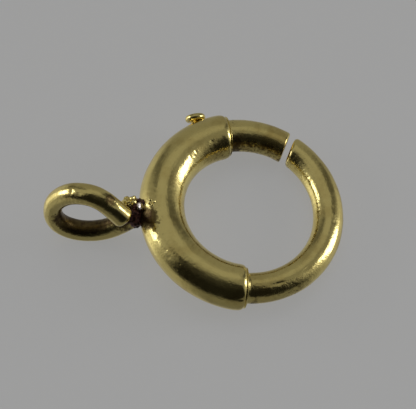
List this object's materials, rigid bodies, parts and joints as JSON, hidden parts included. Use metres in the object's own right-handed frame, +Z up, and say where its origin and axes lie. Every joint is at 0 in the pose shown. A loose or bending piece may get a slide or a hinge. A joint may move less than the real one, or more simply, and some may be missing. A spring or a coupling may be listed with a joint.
{
  "type": "spring ring clasp",
  "caption": "Round spring ring clasp: a hollow sleeve guides a sprung tongue that a thumb lug slides back, with a soldered wire eye for a chain.",
  "frame": {"origin": "centre of the ring, on the ring's centreline plane", "axes": "+Z up from the table the clasp lies on, +X from the eye across the ring to the plain arm, +Y towards the thumb lug's side"},
  "size_m": [0.0188, 0.0137, 0.0057],
  "materials": {
    "gold_sleeve": "worn polished yellow gold alloy with fine scratches",
    "gold_wire": "worn polished yellow gold alloy with fine scratches",
    "gold_tongue": "worn yellow gold alloy, browned by sliding in the sleeve",
    "gold_lug": "polished yellow gold alloy",
    "spring_steel": "drawn spring wire"
  },
  "bodies": {
    "clasp_body": {"sleeve": "gold_sleeve", "fixed_arm": "gold_wire", "coil_spring": "spring_steel"},
    "tongue_slider": {"tongue": "gold_tongue", "thumb_lug": "gold_lug"}
  },
  "joints": [
    {"name": "tongue_slide", "type": "hinge", "parent": "clasp_body", "child": "tongue_slider", "pos_m": [0, 0, 0], "axis": [0.1254, 0.0227, 0.9918], "range_deg": [0, 38], "stiffness_Nm_per_rad": 0.008, "springref_deg": -20.05, "deforming": ["coil_spring"]}
  ]
}
